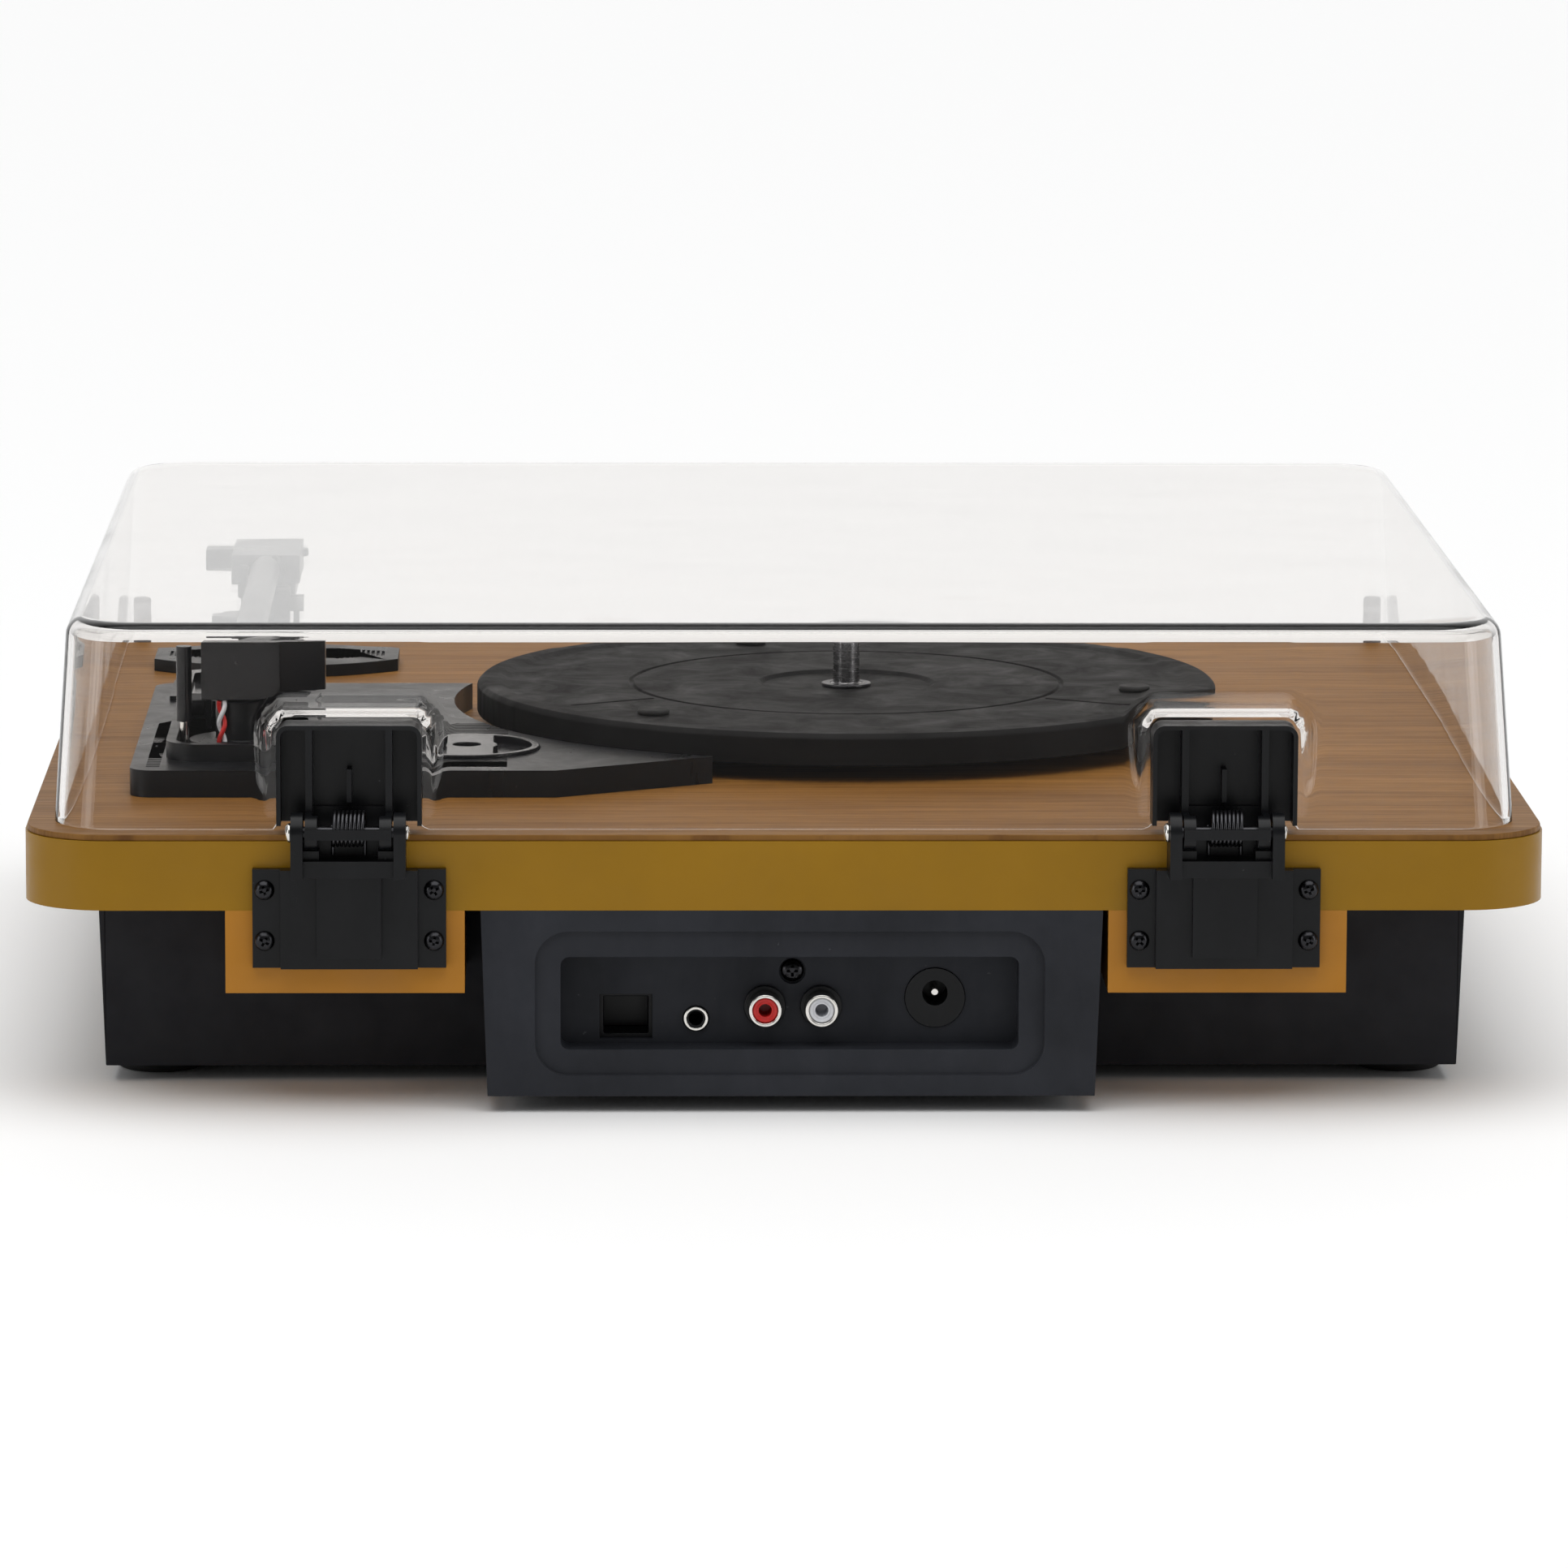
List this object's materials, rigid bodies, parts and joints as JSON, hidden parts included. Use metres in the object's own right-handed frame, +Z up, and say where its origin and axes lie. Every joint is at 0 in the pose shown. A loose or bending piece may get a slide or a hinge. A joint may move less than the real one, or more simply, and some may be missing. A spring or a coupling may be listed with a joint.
{
  "type": "turntable record player",
  "caption": "Belt-drive record player on a wooden plinth with a hinged clear cover, straight tonearm, rear connector box and built-in speakers.",
  "frame": {"origin": "middle of the whole part's footprint, at the height of the surface its feet stand on", "axes": "+Z up along the spindle, -Y towards the front where the volume knob is, +Y towards the hinges and sockets, +X towards the tonearm side"},
  "size_m": [0.38, 0.3774, 0.1198],
  "materials": {
    "gold_paint": "satin mustard-gold lacquer on board",
    "block_paint": "matt orange-gold lacquer on raw wood",
    "deck_wood": "satin honey-brown wood veneer",
    "cabinet_black": "matt black lacquer",
    "box_plastic": "moulded charcoal plastic",
    "black_plastic": "moulded black plastic",
    "gloss_black": "glossy black plastic",
    "clear_cover": "clear moulded plastic",
    "bumper_grey": "grey rubber",
    "rubber_black": "black rubber",
    "bright_metal": "bright nickel plate",
    "steel": "turned steel",
    "dark_steel": "blackened spring steel",
    "screw_black": "black zinc",
    "brass": "turned brass",
    "phono_red": "red moulded insert",
    "phono_white": "white moulded insert",
    "board_green": "green circuit board",
    "stylus_red": "red stylus holder"
  },
  "bodies": {
    "case": {"plinth": "gold_paint", "deck_veneer": "deck_wood", "cabinet": "cabinet_black", "bottom_panel": "cabinet_black", "rubber_feet": "rubber_black", "case_screws": "steel", "connector_box": "box_plastic", "socket_panel": "box_plastic", "phono_sockets": "bright_metal", "phono_insert_red": "phono_red", "phono_insert_white": "phono_white", "phono_collars": "black_plastic", "aux_jack": "black_plastic", "aux_jack_ring": "bright_metal", "usb_socket": "black_plastic", "power_socket": "black_plastic", "power_pin": "bright_metal", "panel_screw": "screw_black", "hinge_blocks": "block_paint", "hinge_bracket_left": "black_plastic", "hinge_bracket_right": "black_plastic", "hinge_screws": "screw_black", "hinge_pins": "bright_metal", "hinge_springs": "dark_steel", "spindle": "steel", "spindle_bush": "brass", "motor": "steel", "drive_belt": "rubber_black", "control_plate": "black_plastic", "arm_base": "black_plastic", "arm_wires": "phono_red", "rest_plate": "black_plastic", "arm_rest": "black_plastic", "speaker_grilles": "black_plastic", "speakers": "black_plastic", "volume_pot": "steel", "headphone_jack": "black_plastic", "amplifier_board": "board_green"},
    "lid": {"dust_cover": "clear_cover", "cover_bumpers": "bumper_grey", "hinge_leaf_left": "black_plastic", "hinge_leaf_right": "black_plastic"},
    "platter_body": {"platter": "black_plastic", "platter_pads": "rubber_black", "hub_washer": "dark_steel"},
    "pulley_body": {"motor_pulley": "brass"},
    "turret_body": {"arm_turret": "gloss_black", "arm_pivot_pin": "steel"},
    "arm_body": {"tonearm": "black_plastic", "headshell": "black_plastic", "cartridge": "black_plastic", "stylus": "stylus_red"},
    "lifter_body": {"lift_rod": "bright_metal", "lift_platform": "gloss_black"},
    "lever_body": {"cue_lever": "gloss_black"},
    "clip_body": {"rest_clip": "black_plastic"},
    "adapter_body": {"adapter_45": "gloss_black"},
    "speed_body": {"speed_selector": "black_plastic"},
    "autostop_body": {"autostop_switch": "black_plastic"},
    "knob_body": {"volume_knob": "gloss_black"}
  },
  "joints": [
    {"name": "lid_hinge", "type": "hinge", "parent": "case", "child": "lid", "pos_m": [0, 0.18375, 0.0718], "axis": [-1, 0, 0], "range_deg": [0, 65]},
    {"name": "platter_spin", "type": "hinge", "parent": "case", "child": "platter_body", "pos_m": [-0.0201, -0.00325, 0.076], "axis": [0, 0, -1], "continuous": true},
    {"name": "pulley_spin", "type": "hinge", "parent": "case", "child": "pulley_body", "pos_m": [-0.09623, -0.03875, 0.074], "axis": [0, 0, -1], "continuous": true},
    {"name": "arm_swing", "type": "hinge", "parent": "case", "child": "turret_body", "pos_m": [0.1385, 0.07725, 0.085], "axis": [0, 0, -1], "range_deg": [0, 48]},
    {"name": "arm_lift", "type": "hinge", "parent": "turret_body", "child": "arm_body", "pos_m": [0.1385, 0.07725, 0.098], "axis": [-1, 0, 0], "range_deg": [0, 3]},
    {"name": "cue_lever_turn", "type": "hinge", "parent": "case", "child": "lever_body", "pos_m": [0.1515, 0.04525, 0.083], "axis": [-1, 0, 0], "range_deg": [0, 45]},
    {"name": "lifter_slide", "type": "slide", "parent": "case", "child": "lifter_body", "axis": [0, 0, 1], "range_m": [0, 0.001]},
    {"name": "rest_clip_turn", "type": "hinge", "parent": "case", "child": "clip_body", "pos_m": [0.1298, -0.08875, 0.0895], "axis": [0, 1, 0], "range_deg": [0, 180]},
    {"name": "adapter_lift_out", "type": "slide", "parent": "case", "child": "adapter_body", "axis": [0, 0, 1], "range_m": [0, 0.012]},
    {"name": "speed_slide", "type": "slide", "parent": "case", "child": "speed_body", "axis": [0, 1, 0], "range_m": [0, 0.008]},
    {"name": "autostop_slide", "type": "slide", "parent": "case", "child": "autostop_body", "axis": [0, 1, 0], "range_m": [0, 0.006]},
    {"name": "volume_turn", "type": "hinge", "parent": "case", "child": "knob_body", "pos_m": [0, -0.17775, 0.028], "axis": [0, 1, 0], "range_deg": [0, 270]}
  ],
  "couplings": [
    {"joint": "pulley_spin", "follows": "platter_spin", "ratio": 17.5},
    {"joint": "arm_lift", "follows": "cue_lever_turn", "ratio": 0.066666},
    {"joint": "lifter_slide", "follows": "cue_lever_turn", "m_per_rad": 0.001273}
  ]
}
